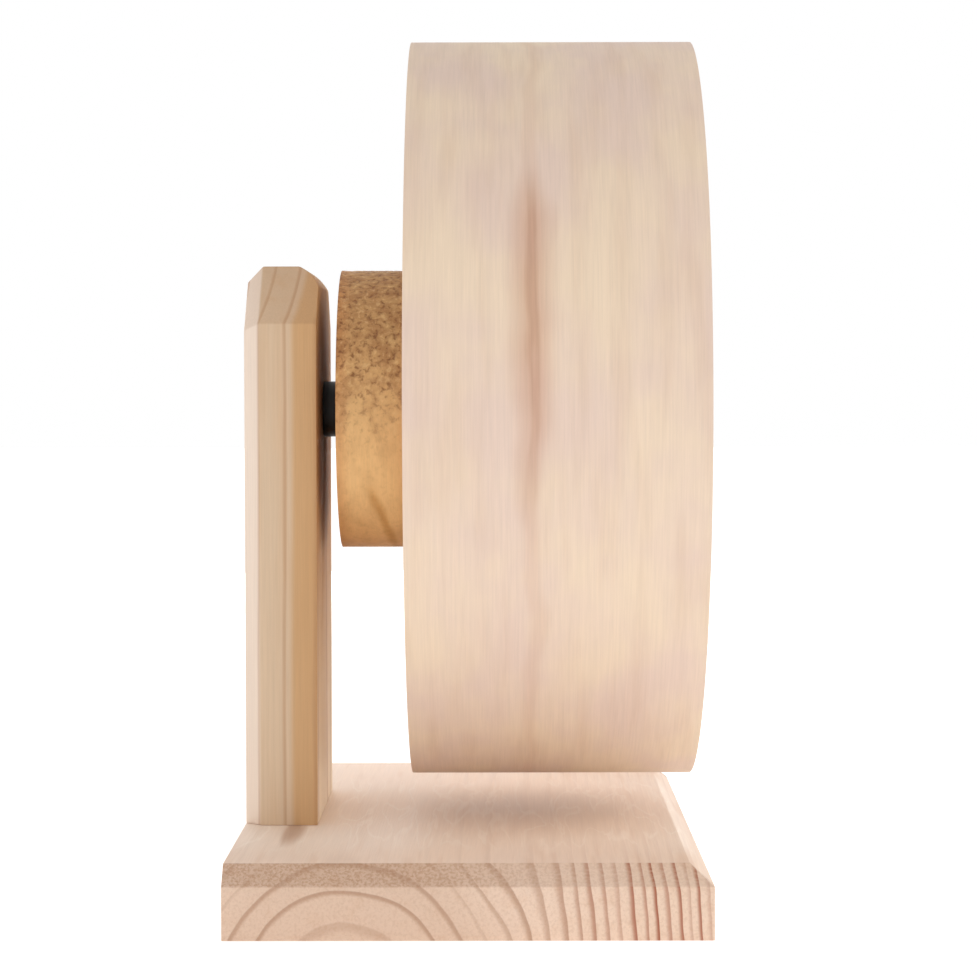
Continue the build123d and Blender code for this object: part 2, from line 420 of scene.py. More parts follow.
base_finish = Finish("base_pine")
ring_kind = {"crowding": base_ring_crowding, "uneven": 0.7, "line": 0.24, "old_line": 0.5, "first": 0.55}
wood = grow_wood(base_finish, base_pith, base_lean, base_ring_rate, **ring_kind)
endness = end_grain(base_finish, base_lean)
x, y, z = base_finish.split(base_finish.place)
bevel_start = base_high.x - base_chamfer_run
bevel_mask = base_finish.rise(abs(x), bevel_start - 0.2 * mm, bevel_start + 0.2 * mm)
bevel_mask = bevel_mask * base_finish.rise(z, shoulder_z - 0.3 * mm, shoulder_z + 0.3 * mm)
end_mask = base_finish.rise(endness, 0.3, 0.9)
sap = base_finish.mix(wood["mottle"], seen(243, 217, 194), seen(238, 216, 200))
sap = base_finish.mix(base_finish.rise(wood["flow"], 0.5, 0.72) * 0.4, sap, seen(222, 186, 158))
sap = base_finish.mix(end_mask * 0.5, sap, seen(226, 192, 166))
far_out = base_finish.rise(wood["radius"], *far_rings)
late = base_finish.mix(far_out, seen(158, 112, 82), seen(164, 96, 68))
heart = (1 - base_finish.rise(wood["radius"], *heart_rings)) * end_mask
sap = base_finish.mix(heart * 0.5, sap, seen(202, 170, 146))
ring_strength = wood["rings"] * (0.12 + end_mask * (0.5 + far_out * 0.4) + bevel_mask * far_out * 0.2)
pine = base_finish.mix(ring_strength, sap, late)
torn = base_finish.noise(wood["log"], 1300, 3, 0.6, 0.2)
torn_side = 0.4 + base_finish.rise(y, *torn_reach) * 0.6
speckle = bevel_mask * torn_side * (0.3 + base_finish.rise(torn, 0.4, 0.64) * 0.35)
speckle = speckle + (1 - bevel_mask) * end_mask * base_finish.rise(torn, 0.44, 0.66) * 0.16
pine = base_finish.mix(speckle, pine, seen(172, 124, 86))
wisps = base_finish.noise(base_finish.stretched(wood["log"], (0.12, 1, 1)), 150, 2, 0.5, 0.6)
wisps = 1 - base_finish.rise(abs(wisps - 0.5), 0.0, 0.04)
top_mask = base_finish.rise(z, shoulder_z, base_high.z)
# Paler middle of the top, under the drum: painted light that lifts the drum's shadow, streaked along the
# grain by the wisps.
painted_fill = top_mask * (1 - base_finish.rise(abs(x - painted_fill_middle), *painted_fill_reach))
pine = base_finish.mix(painted_fill * (0.55 + wisps * 0.3), pine, seen(255, 240, 225))
from_mark = ((x - mark_place[0]) / mark_length) ** 2.0 + ((y - mark_place[1]) / mark_width) ** 2.0
mark = (1 - base_finish.rise(from_mark + wood["flow"], 0.4, 1.7)) * top_mask
pine = base_finish.mix(mark * 0.6, pine, seen(168, 116, 72))
pine = base_finish.fibred(pine, wood["fibres"], 0.16)
relief = wood["fibres"] * 0.6 + wood["rings"] * 0.4 + torn * bevel_mask
base_finish.surface(pine, 0.62 + wood["fibres"] * 0.1, relief, 0.12 * mm)
base_finish.wear(base_board)
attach(base_board, "stand")
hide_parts("base_plate")

# Base screws. Two countersunk steel wood screws, zinc plated, driven up through the base board into the
# foot of the post. Their heads lie a little under the board's underside, in holes sunk for them.

_, base_screw_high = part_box("base_screws")
base_screw_pitch = 2.5 * mm


def copy_of(piece, name):
    twin = piece.copy()
    twin.data = piece.data.copy()
    twin.name = name
    bpy.context.collection.objects.link(twin)
    return twin


def join(piece, *others):
    """Make one piece of several."""
    use_only(piece)
    for other in others:
        other.select_set(True)
    bpy.ops.object.join()
    return piece


def new_thread(crest, height, pitch, start, end, steps=24):
    """A thread's ridge, three-sided and wound about the Z axis, with its two ends closed."""
    deselect()
    size = height / 1.5
    spot = (crest - size, 0, start)
    bpy.ops.mesh.primitive_circle_add(vertices=3, radius=size, location=spot, rotation=(pi / 2, pi / 2, 0))
    ridge = settle(bpy.context.object)
    turns = int((end - start) / pitch)
    apply(ridge, "SCREW", screw_offset=pitch, iterations=turns, steps=steps, render_steps=steps)
    bpy.ops.object.mode_set(mode="EDIT")
    bpy.ops.mesh.select_all(action="SELECT")
    bpy.ops.mesh.fill_holes(sides=3)
    bpy.ops.mesh.normals_make_consistent(inside=False)
    leave()
    return ridge


def new_blade(radius, tip_radius, depth):
    """One of the two tapered blades of a screwdriver, pointing up from the origin."""
    deselect()
    middle = (0, 0, depth / 2)
    shape = {"vertices": 4, "radius1": radius, "radius2": tip_radius, "depth": depth}
    bpy.ops.mesh.primitive_cone_add(location=middle, **shape)
    blade = put(bpy.context.object, middle, (0, 0, pi / 4))
    blade.scale = (1, 0.3, 1)
    return settle(blade)


def new_wood_screw(name, length, head, crest, pitch):
    """A countersunk screw with a cross recess, its head's face at the origin and its point up +Z."""
    neck = 0.72 * crest
    core = 0.62 * crest
    cone_end = head - neck
    body = [
        (0, 0),
        (0, 0.95 * head),
        (0.05 * head, head),
        (cone_end, neck),
        (0.4 * length, neck),
        (0.4 * length + neck - core, core),
        (length - 2.2 * crest, core),
        (length, 0.06 * crest),
        (length, 0),
    ]
    screw = new_turned(name, body, 40)
    depth = 0.5 * head
    for turn in (pi / 4, 3 * pi / 4):
        blade = new_blade(0.62 * head, 0.12 * head, depth + 0.2 * mm)
        cut_away(screw, put(blade, (0, 0, -0.1 * mm), (0, 0, turn)))
    ridge = new_thread(crest, crest - core + 0.1 * mm, pitch, 0.42 * length, length - 1.6 * crest)
    return smooth(join(screw, ridge))


screw_finish = Finish("zinc_plate")
cloud = screw_finish.noise(screw_finish.place, 420, 3)
zinc = screw_finish.mix(cloud, seen(186, 190, 192), seen(214, 214, 208))
scuffs = screw_finish.noise(screw_finish.stretched(screw_finish.place, (1, 1, 0.2)), 5200, 2)
screw_finish.surface(zinc, 0.24 + cloud * 0.16 + scuffs * 0.06, scuffs, 0.01 * mm, metallic=1.0)

base_screw_length = base_screw_high.z - screw_sink
base_screw = new_wood_screw(
    "base_screw", base_screw_length, screw_head_radius, screw_radius, base_screw_pitch
)
screw_finish.wear(base_screw)
for index, side in enumerate((-1, 1)):
    spot = (side * screw_pitch / 2, screw_line, screw_sink)
    screw = put(copy_of(base_screw, f"base_screw_{index + 1}"), spot)
    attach(screw, "stand")
    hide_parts("base_screws")
bpy.data.objects.remove(base_screw)

# Post. A pine board set on end, screwed to the base from below. Its top corners are sawn off, the outer
# edges are chamfered all round, and the top edge nearest the wheel has a bevel, a little crowned.

post_low, post_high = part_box("post")
axle_z = (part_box("hub_block")[0].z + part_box("hub_block")[1].z) / 2
post_corner_cut = 16.5 * mm
post_edge_chamfer = 4.5 * mm
post_bevel = 5.7 * mm
crown_radius = 12.0 * mm
crown_steps = 8
bolt_hole_radius = 4.15 * mm
nut_seat_radius = 11.2 * mm
nut_seat_depth = 1.6 * mm
nut_barrel_radius = 4.9 * mm
nut_barrel_length = 9.5 * mm
nut_barrel_gap = 0.05 * mm
bore_steps = 72
post_pith = (-12 * mm, 115 * mm, 0)
post_ring_width = 7.6 * mm
heart_radius = 68.5 * mm
post_grain = (0, radians(-90), 0)
# Heights over which the painted light on the foot of the face towards the wheel fades out.
painted_light_heights = (45 * mm, 120 * mm)


def onto_axle(piece):
    """Lay a piece that was turned about Z along the axle."""
    return put(piece, (0, 0, axle_z), (radians(-90), 0, 0))


post_board = new_block("post_board", post_low, post_high)
for side in (-1, 1):
    corner = (side * (post_high.x - post_corner_cut), 0, post_high.z)
    plane_off(post_board, corner, (side, 0, 1))
edge_y = post_high.y - post_edge_chamfer
plane_off(post_board, (0, edge_y, post_high.z), (0, 1, 1))
for side in (-1, 1):
    plane_off(post_board, (side * post_high.x, edge_y, 0), (side, 1, 0))
    slope = (side * (post_high.x - post_corner_cut), edge_y, post_high.z)
    plane_off(post_board, slope, (side, 2**0.5, 1))
half_chord = post_bevel / 2**0.5
crown_reach = asin(half_chord / crown_radius)
crown_inset = post_bevel / 2 + ((crown_radius**2 - half_chord**2) / 2) ** 0.5
crown = []
for step in range(crown_steps + 1):
    angle = 3 * pi / 4 + crown_reach * (2 * step / crown_steps - 1)
    y = post_low.y + crown_inset + crown_radius * cos(angle)
    crown.append((y, post_high.z - crown_inset + crown_radius * sin(angle)))
for (y, z), (next_y, next_z) in zip(crown, crown[1:]):
    plane_off(post_board, (0, y, z), (0, next_z - z, y - next_y))
bore = [
    (post_low.y - mm, 0),
    (post_low.y - mm, bolt_hole_radius),
    (post_high.y - nut_seat_depth - nut_barrel_length, bolt_hole_radius),
    (post_high.y - nut_seat_depth - nut_barrel_length, nut_barrel_radius + nut_barrel_gap),
    (post_high.y - nut_seat_depth, nut_barrel_radius + nut_barrel_gap),
    (post_high.y - nut_seat_depth, nut_seat_radius),
    (post_high.y + mm, nut_seat_radius),
    (post_high.y + mm, 0),
]
cut_away(post_board, onto_axle(new_turned("drill", bore, bore_steps)))
pilot = [
    (post_low.z - mm, 0),
    (post_low.z - mm, screw_radius + screw_gap),
    (base_screw_high.z - 2 * screw_radius, screw_radius + screw_gap),
    (base_screw_high.z + screw_gap, 0),
]
for side in (-1, 1):
    drill = new_turned("drill", pilot, drill_steps)
    cut_away(post_board, put(drill, (side * screw_pitch / 2, screw_line, 0)))
ease_edges(post_board, eased_edge)
smooth(post_board)

post_finish = Finish("post_pine")
ring_kind = {"wander": 0.7 * mm, "uneven": 0.5, "line": 0.16}
wood = grow_wood(post_finish, post_pith, post_grain, 1 / post_ring_width, **ring_kind)
endness = end_grain(post_finish, post_grain)
_, y, z = post_finish.split(post_finish.place)
sap = post_finish.mix(wood["mottle"], seen(217, 190, 160), seen(209, 185, 157))
sap = post_finish.mix(post_finish.rise(wood["flow"], 0.45, 0.75) * 0.35, sap, seen(204, 166, 126))
heart = post_finish.rise(wood["radius"], heart_radius, heart_radius + 2 * mm)
sap = post_finish.mix(heart * 0.8, sap, seen(202, 158, 106))
# Paler back chamfers and back face: painted light from the bright side behind the post.
painted_back_light = post_finish.rise(y, edge_y - 0.2 * mm, edge_y + 0.6 * mm)
sap = post_finish.mix(painted_back_light * 0.7, sap, seen(238, 220, 206))
_, inward, _ = post_finish.split(post_finish.facing)
# Paler foot of the face towards the wheel: painted light on its low part, fading out upwards.
painted_light_foot = post_finish.rise(-1 * inward, 0.7, 0.95) * (1 - post_finish.rise(z, *painted_light_heights))
sap = post_finish.mix(painted_light_foot, sap, seen(255, 236, 210))
late = post_finish.mix(wood["mottle"], seen(172, 120, 78), seen(164, 112, 72))
pine = post_finish.mix(wood["rings"] * (0.45 + endness * 0.2), sap, late)
pine = post_finish.mix(endness * 0.45, pine, seen(184, 142, 104))
pine = post_finish.fibred(pine, wood["fibres"], 0.2)
relief = wood["fibres"] * 0.7 + wood["rings"] * 0.4
post_finish.surface(pine, 0.6 + wood["fibres"] * 0.12, relief, 0.1 * mm)
post_finish.wear(post_board)
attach(post_board, "stand")
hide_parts("post")

# Pronged nut. Pressed from steel sheet and zinc plated: a threaded barrel on a round flange, whose four
# prongs are bent forward out of it. It is driven into the back of the post and lies flush there.

nut_bore = 4.0 * mm
nut_flange_radius = 11.0 * mm
prong_radius = 7.6 * mm
prong_half_width = 2.2 * mm
prong_length = 6.5 * mm
prong_tip_half_width = 0.25 * mm

flange_front = post_high.y - nut_seat_depth
barrel_end = flange_front - nut_barrel_length
nut_profile = [
    (post_high.y, nut_bore + 0.5 * mm),
    (post_high.y, nut_flange_radius),
    (flange_front, nut_flange_radius),
    (flange_front, nut_barrel_radius),
    (barrel_end, nut_barrel_radius),
    (barrel_end, nut_bore),
    (post_high.y - 0.5 * mm, nut_bore),
]
pronged_nut = new_turned("pronged_nut", nut_profile, bore_steps)
for index in range(4):
    turn = (0, 0, pi / 4 + index * pi / 2)
    notch_low = Vector((prong_radius + nut_seat_depth, -prong_half_width, flange_front - mm))
    notch_high = Vector((nut_flange_radius + 2 * mm, prong_half_width, post_high.y + mm))
    cut_away(pronged_nut, put(new_block("notch", notch_low, notch_high), (0, 0, 0), turn))
prongs = []
for index in range(4):
    prong_low = Vector((prong_radius, -prong_half_width, flange_front - prong_length))
    prong_high = Vector((prong_radius + nut_seat_depth, prong_half_width, flange_front + 0.2 * mm))
    prong = new_block("prong", prong_low, prong_high)
    for side in (-1, 1):
        tip = (0, side * prong_tip_half_width, flange_front - prong_length)
        plane_off(prong, tip, (0, side * prong_length, prong_tip_half_width - prong_half_width))
    prongs.append(put(prong, (0, 0, 0), (0, 0, pi / 4 + index * pi / 2)))
onto_axle(join(pronged_nut, *prongs))
ease_edges(pronged_nut, 0.12 * mm, 2, 40)
smooth(pronged_nut)
screw_finish.wear(pronged_nut)
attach(pronged_nut, "stand")
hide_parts("t_nut")

# Drum strip. Thin plywood bent into a ring, glued to itself along a long scarf, with its face veneer
# running round. The veneer is pale limewood with a reddish streak, and the plies show at the two edges.

rim_low, rim_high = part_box("running_rim")
rim_radius = rim_high.x
rim_wall = 3.0 * mm
scarf_angle = radians(118)
scarf_length = 18.0 * mm
scarf_turn = scarf_angle + scarf_length / rim_radius
scarf_line = 0.35 * mm
streak_line = -16.6 * mm
knot_start = (-45 * mm, 15 * mm)
knot_end = (48 * mm, 66 * mm)
strip_middle = -23 * mm
strip_edge = (39.3 * mm, 39.5 * mm)
core_edge = (0.45 * mm, 0.55 * mm)
strip_steps = 288

rim_profile = [
    (rim_low.y, rim_radius - rim_wall),
    (rim_low.y, rim_radius),
    (rim_high.y, rim_radius),
    (rim_high.y, rim_radius - rim_wall),
]
drum_strip = new_turned("drum_strip", rim_profile, strip_steps)
for angle, radius in ((scarf_angle, rim_radius), (scarf_turn, rim_radius - rim_wall)):
    half = scarf_line / 2
    gouge_low = Vector((-half, -half, rim_low.y - mm))
    gouge_high = Vector((half, half, rim_high.y + mm))
    gouge = put(new_block("gouge", gouge_low, gouge_high), (0, 0, 0), (0, 0, pi / 4))
    spot = (radius * sin(angle), -radius * cos(angle), 0)
    cut_away(drum_strip, put(gouge, spot))
onto_axle(drum_strip)
ease_edges(drum_strip, 0.5 * mm, 3, 40)
smooth(drum_strip)

drum_finish = Finish("drum_veneer")
turn = (0, scarf_angle - pi, 0)
mapping_inputs = {"Vector": drum_finish.place, "Location": (0, 0, axle_z), "Rotation": turn}
x, y, z = drum_finish.split(drum_finish.node("Mapping", {"vector_type": "TEXTURE"}, mapping_inputs))
near, _, up = drum_finish.split(drum_finish.place)
radius = (x * x + z * z) ** 0.5
length = x.maths("ARCTAN2", x, z) * rim_radius
strip = drum_finish.node("CombineXYZ", inputs={0: length, 1: y, 2: radius * 3})
fibres = drum_finish.noise(drum_finish.stretched(strip, (0.025, 1, 1)), 2300, 3, 0.6)
flow = drum_finish.noise(drum_finish.stretched(strip, (0.12, 1, 1)), 190, 3)
clouds = drum_finish.noise(drum_finish.stretched(strip, (0.7, 1, 1)), 38, 3)
ripple = drum_finish.noise(drum_finish.stretched(strip, (1, 0.12, 1)), 190, 2)
sway = drum_finish.noise(drum_finish.stretched(strip, (1, 0, 0)), 22, 2) - 0.5
from_streak = abs(y - streak_line + sway * (10 * mm)) + flow * (6 * mm) - 3 * mm
knot = drum_finish.rise(up, axle_z + knot_start[0], axle_z + knot_start[1])
knot = knot * (1 - drum_finish.rise(up, axle_z + knot_end[0], axle_z + knot_end[1]))
knot = knot * drum_finish.rise(-1 * near, 0, 40 * mm)
streak_reach = 3 * mm + knot * (5 * mm)
streak = (1 - drum_finish.rise(from_streak / streak_reach, 0.1, 1.0)) * (0.35 + knot * 0.65)
from_vein = abs(from_streak + clouds * (4 * mm) - 2 * mm)
vein = (1 - drum_finish.rise(from_vein / (2.2 * mm), 0.1, 1.0)) * knot
veneer = drum_finish.mix(drum_finish.rise(clouds, 0.32, 0.68), seen(231, 208, 182), seen(223, 198, 182))
veneer = drum_finish.mix(drum_finish.rise(flow, 0.42, 0.8) * 0.35, veneer, seen(208, 176, 150))
veneer = drum_finish.mix(streak * 0.55, veneer, seen(194, 146, 116))
veneer = drum_finish.mix(vein * 0.35, veneer, seen(166, 112, 80))
core = drum_finish.mix(flow, seen(176, 132, 92), seen(196, 156, 116))
on_edge = drum_finish.rise(abs(y - strip_middle), *strip_edge)
in_core = 1 - drum_finish.rise(abs(radius - (rim_radius - rim_wall / 2)), *core_edge)
veneer = drum_finish.mix(on_edge * in_core, veneer, core)
veneer = drum_finish.fibred(veneer, fibres, 0.2)
relief = fibres * 0.6 + ripple * 0.8
drum_finish.surface(veneer, 0.58 + fibres * 0.12, relief, 0.08 * mm)
drum_finish.wear(drum_strip)
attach(drum_strip, "wheel")
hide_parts("running_rim")

# Drum panel. The round plywood back of the drum, glued inside the strip. A hole in its middle lets the
# axle bolt's head through, and four countersunk holes take the screws that hold the hub.

panel_low, panel_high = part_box("back_panel")
panel_radius = panel_high.x
access_radius = 10.0 * mm
hub_screw_radius = 1.75 * mm
hub_screw_head = 3.5 * mm
hub_screw_sink = 0.3 * mm
hub_screw_circle = 28.0 * mm
hub_screw_length = 15.7 * mm
hub_screw_pitch = 1.6 * mm
panel_steps = 192
panel_pith = (18 * mm, 92 * mm, 0)
panel_ring_width = 3.4 * mm
panel_wander = 5 * mm
hub_screw_turns = [pi / 4 + index * pi / 2 for index in range(4)]


def round_hub(piece, turn):
    """Carry a piece that points up +Z from the origin to a hub screw's place."""
    sideways = hub_screw_circle * sin(turn)
    height = axle_z + hub_screw_circle * cos(turn)
    return put(piece, (sideways, panel_low.y + hub_screw_sink, height), (radians(-90), 0, 0))


panel_profile = [
    (panel_low.y, access_radius),
    (panel_low.y, panel_radius),
    (panel_high.y, panel_radius),
    (panel_high.y, access_radius),
]
drum_panel = onto_axle(new_turned("drum_panel", panel_profile, panel_steps))
sunk_hole = [
    (-1 * mm, 0),
    (-1 * mm, hub_screw_head + screw_gap),
    (0, hub_screw_head + screw_gap),
    (hub_screw_head - hub_screw_radius, hub_screw_radius + screw_gap),
    (5 * mm, hub_screw_radius + screw_gap),
    (5 * mm, 0),
]
for turn in hub_screw_turns:
    cut_away(drum_panel, round_hub(new_turned("drill", sunk_hole, drill_steps), turn))
ease_edges(drum_panel, 0.25 * mm, 2, 40)
smooth(drum_panel)

panel_finish = Finish("panel_veneer")
panel_grain = (0, radians(-86), radians(2))
wood = grow_wood(panel_finish, panel_pith, panel_grain, 1 / panel_ring_width, wander=panel_wander)
_, y, _ = panel_finish.split(panel_finish.place)
sap = panel_finish.mix(wood["mottle"], seen(232, 210, 184), seen(224, 202, 180))
sap = panel_finish.mix(panel_finish.rise(wood["flow"], 0.42, 0.8) * 0.5, sap, seen(208, 178, 148))
veneer = panel_finish.mix(wood["rings"] * 0.4, sap, seen(196, 156, 120))
core = panel_finish.mix(wood["flow"], seen(176, 132, 92), seen(196, 156, 116))
depth = (y - panel_low.y) / (panel_high.y - panel_low.y)
in_core = 1 - panel_finish.rise(abs(depth - 0.5), 0.2, 0.24)
veneer = panel_finish.mix(in_core, veneer, core)
veneer = panel_finish.fibred(veneer, wood["fibres"], 0.2)
panel_finish.surface(veneer, 0.58 + wood["fibres"] * 0.12, wood["fibres"], 0.08 * mm)
panel_finish.wear(drum_panel)
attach(drum_panel, "wheel")
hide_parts("back_panel")

# Hub disc. Turned from a slab of pine that was cut askew, so its rim shows coarse end grain, torn by the
# tool over its upper part. The bearing is pressed into its back, up to a shoulder.

hub_low, hub_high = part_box("hub_block")
hub_radius = hub_high.x
bearing_low, bearing_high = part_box("bearing_outer_race")
seat_radius = bearing_high.x + 0.02 * mm
shoulder_radius = 9.0 * mm
hub_pith = (-38 * mm, 25.7 * mm, 122.5 * mm)
hub_grain = (0, radians(-120), 0)
hub_ring_width = 3.5 * mm
streak_top = (27.1 * mm, 111.3 * mm)
streak_lean = radians(20)
painted_shade_heights = (-25 * mm, 30 * mm)
torn_heights = (-16 * mm, 16 * mm)
torn_depth = 0.4 * mm
torn_grain = 1.5 * mm
rim_steps = 29
hub_steps = 360

hub_profile = [(hub_low.y, shoulder_radius)]
for index in range(rim_steps + 1):
    hub_profile.append((hub_low.y + (hub_high.y - hub_low.y) * index / rim_steps, hub_radius))
hub_profile += [
    (hub_high.y, seat_radius),
    (bearing_low.y, seat_radius),
    (bearing_low.y, shoulder_radius),
]
hub_disc = onto_axle(new_turned("hub_disc", hub_profile, hub_steps))
screw_bore = [
    (3 * mm, 0),
    (3 * mm, hub_screw_radius + screw_gap),
    (13 * mm, hub_screw_radius + screw_gap),
    (hub_screw_length, 0),
]
for turn in hub_screw_turns:
    cut_away(hub_disc, round_hub(new_turned("drill", screw_bore, drill_steps), turn))
ease_edges(hub_disc, 0.5 * mm, 2, 50)


def rim_tearing(point):
    """How torn the rim is: most where the tool met the ends of the fibres, over its upper half."""
    reach = (point.x**2 + (point.z - axle_z) ** 2) ** 0.5
    if reach < hub_radius - 0.6 * mm:
        return 0.0
    upper = (point.z - axle_z + 12 * mm) / (26 * mm)
    edge = min(point.y - hub_low.y, hub_high.y - point.y) / (1.5 * mm)
    return max(0.1, min(1.0, upper)) * max(0.2, min(1.0, edge))


roughen(hub_disc, rim_tearing, torn_depth, torn_grain)
smooth(hub_disc, 40)

hub_finish = Finish("hub_pine")
wood = grow_wood(hub_finish, hub_pith, hub_grain, 1 / hub_ring_width, wander=2.6 * mm, uneven=1.8)
endness = end_grain(hub_finish, hub_grain)
_, y, z = hub_finish.split(hub_finish.place)
# The hub darkens towards its top: painted shade over its upper part.
height = hub_finish.rise(z, axle_z + painted_shade_heights[0], axle_z + painted_shade_heights[1])
sap = hub_finish.mix(height, seen(238, 194, 134), seen(188, 146, 94))
sap = hub_finish.mix(hub_finish.rise(wood["mottle"], 0.4, 0.75) * 0.4, sap, seen(204, 150, 94))
from_edge = abs(y - (hub_low.y + hub_high.y) / 2) / ((hub_high.y - hub_low.y) / 2)
sap = hub_finish.mix(hub_finish.rise(from_edge, 0.55, 1.0) * 0.45, sap, seen(200, 132, 76))
late = hub_finish.mix(wood["mottle"], seen(158, 106, 64), seen(146, 94, 54))
pine = hub_finish.mix(wood["rings"] * (0.04 + height * 0.36), sap, late)
from_streak = (y - streak_top[0]) * cos(streak_lean) - (z - streak_top[1]) * sin(streak_lean)
streak = 1 - hub_finish.rise(abs(from_streak + wood["flow"] * (2 * mm) - mm), 0.1 * mm, 2.2 * mm)
streak = streak * (1 - hub_finish.rise(z, streak_top[1] - 2 * mm, streak_top[1] + 4 * mm))
pine = hub_finish.mix(streak * 0.6, pine, seen(186, 126, 50))
torn_mask = hub_finish.rise(z, axle_z + torn_heights[0], axle_z + torn_heights[1])
blotch = hub_finish.noise(hub_finish.stretched(wood["log"], (0.6, 1, 1)), 210, 2)
blotched = hub_finish.rise(blotch, 0.4, 0.66) * (0.15 + torn_mask * 0.45)
pine = hub_finish.mix(blotched, pine, seen(156, 106, 60))
pores = hub_finish.noise(hub_finish.place, 600, 3, 0.6, 0.3)
pits = hub_finish.rise(pores, 0.48, 0.72) * (0.12 + torn_mask * 0.88)
pine = hub_finish.mix(pits * 0.8, pine, seen(112, 62, 24))
flecks = (1 - hub_finish.rise(pores, 0.3, 0.46)) * (0.25 + torn_mask * 0.75)
pine = hub_finish.mix(flecks * 0.45, pine, seen(228, 192, 138))
pine = hub_finish.fibred(pine, wood["fibres"], 0.24)
relief = wood["fibres"] * 0.4 - pits
hub_finish.surface(pine, 0.62 + wood["fibres"] * 0.1, relief, 0.12 * mm)
hub_finish.wear(hub_disc)
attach(hub_disc, "wheel")
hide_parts("hub_block")

# Hub screws. Four small countersunk wood screws, zinc plated, driven from inside the drum through the
# panel into the hub disc.

hub_screw = new_wood_screw(
    "hub_screw", hub_screw_length, hub_screw_head, hub_screw_radius, hub_screw_pitch
)
screw_finish.wear(hub_screw)
for index, turn in enumerate(hub_screw_turns):
    screw = round_hub(copy_of(hub_screw, f"hub_screw_{index + 1}"), turn)
    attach(screw, "wheel")
    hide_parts("hub_screws")
bpy.data.objects.remove(hub_screw)

# Ball bearing. A 608 deep groove bearing of ground steel: two races, seven balls in a moulded nylon snap
# cage, and a rubber seal on each side. The hub holds its outer race and the axle bolt its inner one.

inner_low, inner_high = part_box("bearing_inner_race")
ball_radius = 1.9845 * mm
track_radius = 7.5 * mm
groove_radius = ball_radius + 0.03 * mm
outer_land = 8.95 * mm
inner_land = 6.05 * mm
ball_count = 7
inner_bore = 4 * mm
fine_steps = 96
race_middle = (bearing_low.y + bearing_high.y) / 2
groove_angles = [radians(-44 + 8 * index) for index in range(12)]

outer_profile = [(bearing_high.y, outer_land), (bearing_high.y, bearing_high.x)]
outer_profile += [(bearing_low.y, bearing_high.x), (bearing_low.y, outer_land)]
inner_profile = [(inner_high.y, inner_land), (inner_high.y, inner_bore), (inner_low.y, inner_bore)]
inner_profile += [(inner_low.y, inner_land)]
for angle in groove_angles:
    along = race_middle + groove_radius * sin(angle)
    outer_profile.append((along, track_radius + groove_radius * cos(angle)))
    inner_profile.append((along, track_radius - groove_radius * cos(angle)))

steel_finish = Finish("ground_steel")
turned_lines = steel_finish.noise(steel_finish.stretched(steel_finish.place, (1, 0.1, 1)), 6500, 2)
steel = steel_finish.mix(turned_lines, seen(196, 198, 202), seen(220, 222, 224))
steel_finish.surface(steel, 0.16 + turned_lines * 0.12, turned_lines, 0.004 * mm, metallic=1.0)
for name, profile, body, node in (
    ("outer_race", outer_profile, "wheel", "bearing_outer_race"),
    ("inner_race", inner_profile, "stand", "bearing_inner_race"),
):
    race = onto_axle(new_turned(name, profile, fine_steps))
    ease_edges(race, 0.25 * mm, 2, 50)
    smooth(steel_finish.wear(race))
    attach(race, body)
    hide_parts(node)
for index in range(ball_count):
    angle = index * 2 * pi / ball_count
    spot = (track_radius * sin(angle), race_middle, axle_z + track_radius * cos(angle))
    deselect()
    bpy.ops.mesh.primitive_cube_add(size=2 * ball_radius)
    ball = bpy.context.object
    ball.name = f"ball_{index + 1}"
    apply(ball, "SUBSURF", levels=4, render_levels=4)
    apply(ball, "CAST", factor=1.0, size=ball_radius, use_radius_as_size=False)
    smooth(steel_finish.wear(put(ball, spot)), 60)
    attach(ball, "ball_train")
    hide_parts("bearing_balls")

cage_finish = Finish("cage_nylon")
bloom = cage_finish.noise(cage_finish.place, 900, 2)
nylon = cage_finish.mix(bloom, seen(226, 216, 190), seen(238, 230, 208))
cage_finish.surface(nylon, 0.4 + bloom * 0.12, bloom, 0.01 * mm)
cage_finish.wear(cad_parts["bearing_cage"])

rubber_finish = Finish("seal_rubber")
grain = rubber_finish.noise(rubber_finish.place, 4200, 2)
rubber = rubber_finish.mix(grain, seen(24, 24, 26), seen(38, 38, 40))
rubber_finish.surface(rubber, 0.5 + grain * 0.15, grain, 0.01 * mm)
for node, outward in (("rear_seal", 1), ("front_seal", -1)):
    seal_low, seal_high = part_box(node)
    face, back = (seal_high.y, seal_low.y) if outward > 0 else (seal_low.y, seal_high.y)
    sunk = face - outward * 0.18 * mm
    seal_profile = [
        (back, inner_land + 0.3 * mm),
        (back, seal_high.x),
        (face, seal_high.x),
        (face, seal_high.x - 0.5 * mm),
        (sunk, seal_high.x - 0.7 * mm),
        (sunk, inner_land + 1.0 * mm),
        (face, inner_land + 0.8 * mm),
        (face, inner_land + 0.3 * mm),
    ]
    seal = onto_axle(new_turned(f"{node}_disc", seal_profile, fine_steps))
    smooth(rubber_finish.wear(seal))
    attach(seal, "wheel")
    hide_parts(node)

# Sleeve and washer. A zinc plated distance sleeve runs from the inner race forward through the hub, and a
# plain washer lies between it and the bolt's head.

for node, width, name in (
    ("hub_sleeve", 0.3 * mm, "axle_sleeve"),
    ("head_washer", 0.2 * mm, "plain_washer"),
):
    low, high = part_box(node)
    profile = [
        (low.y, bolt_hole_radius),
        (low.y, high.x),
        (high.y, high.x),
        (high.y, bolt_hole_radius),
    ]
    piece = onto_axle(new_turned(name, profile, fine_steps))
    ease_edges(piece, width, 2, 50)
    smooth(screw_finish.wear(piece))
    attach(piece, "stand")
    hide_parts(node)

# Spacer. A turned black plastic distance piece between the post and the bearing's inner race. Only its
# narrow nose touches the race, so that the seal and the outer race run clear of it.

spacer_low, spacer_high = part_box("axle_spacer")
nose_radius = 5.9 * mm
nose_length = 0.5 * mm

